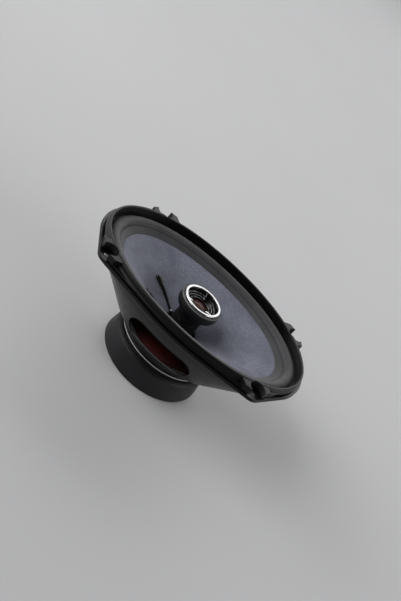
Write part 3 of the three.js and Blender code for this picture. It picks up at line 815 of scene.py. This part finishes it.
def cone_shape():
    front = [cone_at(s) for s in np.linspace(0, 1, 36) ** 1.1]
    points = [(oval(a, b, n), z, 0.3) for a, b, z, n in front]
    points += [(oval(a - 0.2, b - 0.2, n), z - (3 if i == 0 else CONE_T), 0.1)
               for i, (a, b, z, n) in enumerate(front[::-1])]
    return ring(points, 0.2, 1, STATIONS)


piece("woven_cone", cone_shape(), "cone_fibre", "cone", CONE_BODY, sharp=50)


def surround_shape():
    ra, rb, z0, t = RIDGE_A - ROLL_INSET, RIDGE_B - ROLL_INSET, LEDGE_Z + 0.7, 0.4

    def arc(r, start, end):
        return [(oval(ra + r * math.cos(u), rb + r * math.cos(u)), z0 + ROLL_SQUASH * r * math.sin(u), 0)
                for u in np.radians(np.linspace(start, end, 20))]

    a, b, z, n = cone_at(0.1)
    edge = oval(RIDGE_A + 0.2 - RIDGE_HALF, RIDGE_B + 0.2 - RIDGE_HALF)
    return ring([
        (edge, z0 - t), (edge, z0 + t),
        *arc(ROLL_R + t, 4, 176), (oval(ra - ROLL_R - 1.6, rb - ROLL_R - 1.6), z0 + 0.55, 1),
        (oval(a + 0.6, b + 0.6, n), z + 1.2, 0.5), (oval(a, b, n), z + 0.45, 0.1),
        (oval(ra - ROLL_R, rb - ROLL_R), CONE_Z + 0.4, 0.4), *arc(ROLL_R - t, 174, 6),
    ], 0.25, 3)


surround = piece("rubber_surround", surround_shape(), "surround_rubber", "surround", None, sharp=45)
at = points_of(surround)
angle, reach = np.arctan2(at[:, 1], at[:, 0]), np.hypot(at[:, 0], at[:, 1])
flex(surround)


def on_cone(angle, reach):
    """Height of the cone's face at a distance from the axis in one direction."""
    low, high = 0.0, 1.0
    for _ in range(40):
        mid = (low + high) / 2
        a, b, _, n = cone_at(mid)
        if oval(a, b, n, theta=np.array([angle]))[0] > reach:
            low = mid
        else:
            high = mid
    return cone_at(low)[2]


def bead_shape(degrees, turn_in):
    """A tapered run of cement along the cone, from (distance, half width, height) sections.

    It swings by turn_in degrees from its outer end to its inner end."""
    along = smooth_path([(BEAD_IN, 0.5, 0.4), (19.6, 1.3, 1), (26, 1.8, 1.5), (34, 2.4, 2),
                         (41, 3.1, 2.5), (45.5, 3.5, 2.8), (48, 3.1, 2.5), (49.6, 1.8, 1.4),
                         (BEAD_OUT, 0.4, 0.3)], 6)
    rows, n = [], 16
    for d, w, h in along:
        u = math.radians(degrees + turn_in * (49.4 - d) / 29.6)
        z = on_cone(u, d) + 0.15
        for k in range(n):
            v = k / n * 2 * math.pi
            y = w * math.cos(v) * (1 if math.sin(v) > 0 else 0.96)
            rows.append((d * math.cos(u) - y * math.sin(u), d * math.sin(u) + y * math.cos(u),
                         z + h * max(0, math.sin(v))))
    return new_mesh(rows, tube_faces(len(along), n, False))


for number, turn_in in enumerate((-9, 0), 1):
    piece(f"cement_bead_{number}", bead_shape(BEAD_ANGLES[number - 1], turn_in), "cement",
          f"coil_lead_cover_{number}", CONE_BODY, sharp=60)

for number, pair in enumerate(((157.5, 154.5), (209, 205.5)), 1):
    ends = []
    for angle in np.radians(pair):
        root = polar(BEAD_WIRE_AT, angle, on_cone(angle, BEAD_WIRE_AT) + 0.3)
        ends.append(wire([root, root + (0.5, -0.2, 0.8), root + (1.2, -0.3, 0.9)], 0.38, 10))
    piece(f"bead_wire_ends_{number}", merged(*ends), "cement", f"coil_lead_cover_{number}", CONE_BODY,
          sharp=60, look="tab_steel")


# -------- spider and voice coil
def spider_shape():
    r0, r1, mid, waves = NECK_R + 0.1, BASE_R - 4, 37.4, 5
    top = [(r0 + 2 + (r1 - r0 - 6) * s, mid + 1.1 * math.sin(s * waves * 2 * math.pi))
           for s in np.arange(waves * 12 + 1) / (waves * 12)]
    line = [(r0, mid), *top, (r1 + 0.4, mid - 0.3), (46.3, 36.6)]
    points = [(r, z + 0.25, 0) for r, z in line] + [(r, z - 0.25, 0) for r, z in line[::-1]]
    return ring(points, 0, 1, 160)


spider = piece("spider_disc", spider_shape(), "spider_cloth", "spider", None, sharp=60)
at = points_of(spider)
flex(spider)
piece("coil_former", tube(17.2, 17.6, *span("voice_coil_former"), 0.1), "former",
      "voice_coil_former", CONE_BODY)


def winding_shape():
    low, high = span("voice_coil_winding")
    turns = 40
    pitch = (high - low) / turns
    outside = [(18.35 + 0.22 * math.cos(u), low + pitch * (i + 0.5 + 0.5 * math.sin(u)), 0)
               for i in range(turns) for u in np.radians((-60, 0, 60))]
    return ring([(17.9, low), *outside, (17.9, high)], 0, 1, 96)


piece("coil_winding", winding_shape(), "copper", "voice_coil_winding", CONE_BODY, sharp=60)


# -------- motor
piece("top_plate", cut(tube(19.4, 44, *span("front_plate"), 0.5), *rivet_holes()), "plate_steel",
      "front_plate")
piece("ferrite_magnet", tube(23, 45, *span("magnet_ring"), 1.2), "ferrite", "magnet_ring")

low = corner("back_plate_and_pole", 0).z
yoke = turned([(0, low), (44, low, 0.8), (44, low + 6, 0.5), (18.5, low + 6, 1), (16.5, low + 8, 1),
               (16.5, PLATE_TOP, 0.6), (0, PLATE_TOP)])
groove = moved(block(-1.8, 1.8, -1.8, 50, -1, 5.8, 0), turn(CABLE_DEGREES - 90))
yoke = cut(yoke, rod(SCREW_BORE_R, 0, 40, 0, 32), cable_bore())
yoke = cut(cut(yoke, rod(5.6, 0, 6.2, 0)), groove)
piece("pole_and_back_plate", yoke, "plate_steel", "back_plate_and_pole")
for number, degrees in enumerate(RIVET_ANGLES, 1):
    low, high = span(f"base_rivet_{number}")
    rivet = turned([(0, low), (2, low, 0.3), (2, high - 1.9, 0.1), (3.6, high - 1.9, 0.2),
                    (3.3, high - 0.7, 0.5), (1.9, high - 0.1, 0.5), (0, high)], 0.2, 3, 40)
    piece(f"rivet_{number}", moved(rivet, shift(RIVET_AT), turn(degrees)), "plate_steel",
          f"base_rivet_{number}")


def boot_shape():
    r, top = BOOT_R, BOOT_TOP
    boot = turned([(36, 0, 0.3), (r - 1.2, 0, 0.4), (r - 0.5, 0.35, 0.3), (r - 0.5, 0.9, 0.15),
                   (r, 1.3, 0.3), (r, 3.6, 1.5), (52.1, 8, 3), (51.5, 12, 3), (51.1, 16, 3),
                   (50.9, 19, 2), (50.5, 21.3, 0.7), (49.2, 22.3, 0.4), (47.4, top, 0.5),
                   (45.4, top, 0.3), (45.4, 2.3, 0.5), (36, 2.3, 0.3)], 0.3, 5, 200)
    return cut(boot, moved(block(-1.6, 1.6, 30, 49.5, 0.6, top + 1, 0), turn(CABLE_DEGREES - 90)))


piece("rubber_boot", boot_shape(), "boot_rubber", "magnet_boot", sharp=45)


# -------- tweeter on its post
def post_shape():
    """The post with a groove round it and three snap clips in their slots."""
    foot, waist = PLATE_TOP + 0.3, POST_R - 0.35
    post = turned([(0, foot), (POST_R, foot), (POST_R, 47, 0.2), (waist, 47.3, 0.2), (waist, 48.3, 0.2),
                   (POST_R, 48.6, 0.2), (POST_R, POST_TOP), (0, POST_TOP)], 0.4, 3)
    slots = [moved(block(-2.4, 2.4, -POST_R - 1, -POST_R + 0.6, 50, 54.5, 0), turn(a))
             for a in CLIP_ANGLES]
    clips = [moved(block(-1.7, 1.7, -POST_R - 0.02, -POST_R + 1, 50.5, 53.2, 0.25), turn(a))
             for a in CLIP_ANGLES]
    return join(cut(cut(post, rod(SCREW_BORE_R, 20, 46, 0, 32), cable_bore()), *slots), *clips)


piece("post_body", post_shape(), "housing_plastic", "tweeter_post")
piece("washer", tube(SCREW_BORE_R, 5, 4.9, 5.9, 0.2, 64), "plate_steel", "post_washer")
low, high = span("post_screw")
screw = turned([(0, low), (3.2, low, 0.5), (3.8, low + 0.8, 0.4), (3.8, 4.6, 0.2), (2.1, 4.6, 0.1),
                (2.1, high - 1, 0.3), (1.2, high, 0.2), (0, high)], 0.1, 3, 64)
drive = [moved(block(-2.2, 2.2, -0.45, 0.45, low - 1, low + 1.1, 0), turn(a)) for a in (0, 90)]
piece("long_screw", cut(cut(screw, drive[0]), drive[1]), "plate_steel", "post_screw")

low = corner("tweeter_housing", 0).z
housing = turned([(0, low), (POST_R, low, 0.3), (POST_R, 64.5, 0.3), (POST_R + 0.5, 65, 0.3),
                  (POST_R + 0.5, 68, 2), (15.5, 72, 2.5), (19.2, 73.4, 0.6), (20.2, 74, 0.4),
                  (20.2, 76, 0.4), (18.6, 76, 0.2), (18.6, 82, 0.3), (17, 82, 0.3), (17, 75.5, 0.2),
                  (11.8, 75.5, 0.3), (11.8, 64, 0.3), (0, 64)], 0.3, 4)
piece("tweeter_cup", cut(housing, cable_bore()), "housing_plastic", "tweeter_housing")
piece("pot", turned([(0, 64.3), (11.5, 64.3, 0.5), (11.5, 74.6), (9.8, 74.6), (9.8, 66.3), (0, 66.3)]),
      "plate_steel", "tweeter_pot")
piece("disc_magnet", rod(8, 66.6, 71.4, 0.5, 96), "chrome", "tweeter_magnet")
piece("pole_disc", rod(8.2, 71.7, 73.7, 0.3, 96), "plate_steel", "tweeter_top_plate")
piece("dome_coil", tube(8.7, 9.2, 71.8, 76.6, 0.1, 96), "copper", "tweeter_voice_coil", DOME_BODY)


def dome_shape():
    def height(r):
        return DOME_FOOT + DOME_RISE * math.cos(min(1, r / DOME_R) * math.pi / 2)

    radii = np.linspace(0, DOME_R, 24)
    return turned([(r, height(r) + 0.45, 0) for r in radii]
                  + [(r, height(r), 0) for r in radii[::-1]], 0, 1, 96)


piece("soft_dome", dome_shape(), "dome_film", "tweeter_dome", DOME_BODY, sharp=70)
piece("dome_mount", tube(9.6, 13.4, 75.8, 76.6, 0.2, 96), "board", "tweeter_edge_ring")


def horn_shape():
    """The flared horn, its face pressed into narrow steps that run round it."""
    face = [(10.0, 77.9), (10.5, 78.0)]
    for i in range(HORN_STEPS):
        r, z = 11.1 + 1.9 * i, HORN_LOW + HORN_RISE * i
        face += [(r, z), (r + 0.5, z + 0.04), (r + 0.7, z + 0.3)]
    face += [(16.5, 82.2), (16.6, 81.2)]
    under = [(14, 78), (10.9, 77), (10, 77.2)]
    return turned([(*point, 0.06) for point in face] + under, 0.1, 2, 160)


piece("fluted_horn", horn_shape(), "horn_gloss", "tweeter_horn", sharp=50)

bezel = turned([(18.9, 76.3, 0.2), (21.2, 76.3, 0.4), (21.6, 77, 0.4), (21.6, 79.4, 0.1),
                (21, 79.5, 0.1), (21, 80.1, 0.1), (21.6, 80.2, 0.1), (21.6, 82, 0.1), (21, 82.1, 0.1),
                (21, 82.6, 0.1), (21.6, 82.7, 0.1), (21.6, 83.6, 0.4), (21, 84.1, 0.2), (20.9, 83, 0.1),
                (20.4, 83, 0.1), (20.35, 84.1, 0.1), (20.1, 84.2, 0.2), (19.8, 84, 0.1),
                (19.8, 83.3, 0.1), (18.9, 83.3, 0.2)], 0.2, 3, 160)
piece("bezel_band", bezel, "trim_plastic", "tweeter_bezel", sharp=45, look="bezel_satin")


def chrome_shape():
    """The bright rim and the three struts that slope down into the throat."""
    rim = turned([(16.9, 83.6, 0.3), (19.4, 83.6, 0.3), (19.5, 85.2, 0.4), (19.1, TWEETER_TOP, 0.35),
                  (17.1, TWEETER_TOP, 0.3), (16.9, 85.3, 0.2)], 0.2, 5, 240)
    half = [(9.5, 1.0), (10.8, 1.15), (12.6, 0.5), (18.2, 0.7)]
    outline = [(x, -y) for x, y in half] + half[::-1]
    struts = [moved(prism(outline, 0, 0.7, 0.2), turn(-17.2, "Y"), shift(z=77.9), turn(a))
              for a in STRUT_ANGLES]
    return merged(rim, *struts)


piece("chrome_trim", chrome_shape(), "chrome", "tweeter_chrome_ring", sharp=50)
throat = turned([(9.6, 80.9), (10.1, 80.9), (10.15, 81.3), (9.85, 81.45), (9.6, 81.3)], 0.12, 3, 120)
piece("throat_ring", throat, "chrome", "tweeter_chrome_ring", look="horn_gloss")


# -------- terminals
slots = [block(x - w / 2 + 1.7, x + w / 2 - 1.7, 40, 60, 48.7, 50.3, 0) for _, x, w, _ in TABS]
board = cut(block(-34, 16, 49.1, BOARD_Y, 41, 58.4, 0.3), *slots, *board_holes())
piece("board_plate", board, "board", "terminal_board")


def tab_shape(x, w):
    """A blade with a hole, its foot on the board and a tail through the board's slot."""
    blade = cut(block(x - w / 2, x + w / 2, 51.4, 63.5, 52.2, 53, 0.15),
                moved(rod(0.9, 50, 55, 0, 32), shift(x, 60)))
    return join(blade, block(x - w / 2, x + w / 2, 51.4, 52.2, 46, 52.7, 0.15),
                block(x - w / 2 + 2, x + w / 2 - 2, 45.4, 52, 49, 50, 0.1))


for name, x, w, slot in TABS:
    piece(f"tab_{name}", tab_shape(x, w), slot, f"terminal_{name}")
for number, height in enumerate(BOARD_RIVETS, 1):
    rivet = turned([(0, -1.3), (2.2, -1.3, 0.3), (2.2, -0.3, 0.2), (1.2, -0.3, 0.1), (1.2, 4.2, 0.1),
                    (2.2, 4.2, 0.2), (2.1, 5, 0.4), (0, 5.2)], 0.1, 3, 32)
    piece(f"eyelet_{number}", moved(rivet, turn(90, "X"), shift(BOARD_X, BOARD_Y, height)),
          "plate_steel", f"board_rivet_{number}")


def capacitor_shape():
    x, y, z = CAPACITOR
    body = turned([(0, -11), (3.1, -11, 0.6), (3.8, -10.2, 0.5), (3.8, -8.8, 0.2), (3.5, -8.4, 0.2),
                   (3.5, -7.9, 0.2), (3.8, -7.5, 0.2), (3.8, 10.6, 0.6), (3.2, 11, 0.3), (0, 11)],
                  0.2, 3, 64)
    ends = [wire(smooth_path([(x + side * 10.8, y, z), (x + side * 12.3, y, z),
                              (x + side * 12.6, y - 1, z), (x + side * 12.6, y - 3.9, z)], 6), 0.4)
            for side in (-1, 1)]
    return join(moved(body, turn(90, "Y"), shift(x, y, z)), *ends)


piece("capacitor_body", capacitor_shape(), "capacitor_sleeve", "tweeter_capacitor", sharp=45)


# -------- wires
def lead(number, first_step, *route):
    """A coil lead from the back of the cone to a terminal, that curves between the two."""
    angle = math.radians(BEAD_ANGLES[number - 1])
    start = polar(LEAD_AT, angle, on_cone(angle, LEAD_AT) - CONE_T - 1.6)
    path = smooth_path([start, start + first_step, *route], 8)
    obj = piece(f"tinsel_lead_{number}", wire(path, 0.6), "copper", f"coil_lead_{number}", None,
                sharp=60)
    nearest = np.linalg.norm(points_of(obj)[:, None] - path[None], axis=2).argmin(axis=1)
    flex(obj)


lead(1, (-1, 4, -6), (-46, 28, 49), (-36, 40, 46), (-28.5, 43, 48.4), (-27, 44.6, 49.5))
lead(2, (-1, 6, -7), (-43, 4, 49), (-34, 28, 46.5), (-22, 41, 47.6), (-18.4, 44.6, 49.5))

# down the bore, out along the back plate, up inside the boot and round to the board
cable_route = [polar(r, math.radians(CABLE_DEGREES), z) for r, z in (
    *((CABLE_AT, z) for z in (63.8, 50, 36, 22, 9)), (9.1, 4.4), (11.7, 3.1), (20, 3), (32, 3),
    (43.4, 3.1), (46.4, 4.4), (46.9, 8), (46.9, 20), (48.4, 24.6), (51, 29))]
cable_route += [(-18.6, 51.6, 36), (-20.6, 53.6, 41), (-22.6, 53.6, 45.4)]
piece("tweeter_wire", wire(smooth_path(cable_route, 6), 1.0), "cable_sleeve", "tweeter_cable",
      sharp=60)


# -------- floor, light and camera
MIDDLE, KEY_DISTANCE = Vector((0, 0, 0.06)), 2.2
AZIMUTH, ELEVATION, ROLL = (math.radians(v) for v in (1.5613, 30.2533, 42.7244))
FILM_WIDTH = 36
FOCAL_LENGTH = FILM_WIDTH * 900 / 601  # 900 pixels on a picture 601 pixels high
# how far away the camera is and how far it looks past the ring's middle, in millimetres on a
# speaker that this one is MODEL_SCALE times as big as
DISTANCE, ASIDE, DOWN, MODEL_SCALE = 801.417, 7.956, 5.514, 1.0152


def area_light(name, place, size, power):
    """A soft light in metres and watts that faces the speaker's middle and isn't seen itself."""
    data = bpy.data.lights.new(name, "AREA")
    data.shape, data.size, data.size_y = "RECTANGLE", *size
    data.energy = power
    obj = placed(name, data)
    obj.location = place
    obj.rotation_euler = (MIDDLE - Vector(place)).to_track_quat("-Z", "Y").to_euler()
    obj.visible_camera = False


def studio():
    mesh = bpy.data.meshes.new("floor")
    mesh.from_pydata([(-9, -9, 0), (9, -9, 0), (9, 12, 0), (-9, 12, 0)], [], [(0, 1, 2, 3)])
    floor = placed("floor", mesh)
    pale = Look("floor_pale", (0.48, 0.48, 0.485), 0.5, specular=0.3)
    pale.shade(pale.noise(3, 2), (0.465, 0.465, 0.47))
    mesh.materials.append(pale.material)
    world = bpy.data.worlds.new("studio")
    world.use_nodes = True
    nodes, links = world.node_tree.nodes, world.node_tree.links
    backdrop, fade = nodes["Background"], nodes.new("ShaderNodeMapRange")
    height = nodes.new("ShaderNodeSeparateXYZ")
    backdrop.inputs[0].default_value = (0.95, 0.97, 1, 1)
    links.new(nodes.new("ShaderNodeTexCoord").outputs["Generated"], height.inputs[0])
    links.new(height.outputs[2], fade.inputs[0])
    for key, value in (("From Min", 0), ("From Max", 0.45), ("To Min", 0.4), ("To Max", 0.12)):
        fade.inputs[key].default_value = value
    links.new(fade.outputs[0], backdrop.inputs[1])
    bpy.context.scene.world = world
    area_light("key_softbox", MIDDLE + KEY_DISTANCE * Vector((-0.73, -0.38, 0.62)), (1.7, 1.7), 37)
    area_light("back_softbox", (0.1, 2.4, 1.3), (3.6, 1.8), 40)
    area_light("left_softbox", (-1.9, 0.1, 0.85), (1.4, 0.8), 14)
    area_light("right_softbox", (1.9, 0, 0.85), (1.4, 0.8), 18)
    bpy.context.scene.view_settings.view_transform = "Standard"


def camera():
    """The speaker is seen past one long side from about 30 degrees up, with the camera rolled."""
    back = Vector((math.sin(AZIMUTH) * math.cos(ELEVATION), -math.cos(AZIMUTH) * math.cos(ELEVATION),
                   math.sin(ELEVATION)))
    level = Vector((math.cos(AZIMUTH), math.sin(AZIMUTH), 0))
    up = back.cross(level)
    right = math.cos(ROLL) * level + math.sin(ROLL) * up
    above = -math.sin(ROLL) * level + math.cos(ROLL) * up
    place = back * DISTANCE - right * ASIDE - above * DOWN
    data = bpy.data.cameras.new("camera")
    data.sensor_fit, data.sensor_width, data.lens = "AUTO", FILM_WIDTH, FOCAL_LENGTH
    obj = placed("camera", data)
    pose = Matrix((right, above, back)).transposed().to_4x4()
    pose.translation = (place * MODEL_SCALE + Vector((0, 0, RING_TOP))) * MM
    obj.matrix_world = pose
    bpy.context.scene.camera = obj


studio()
camera()
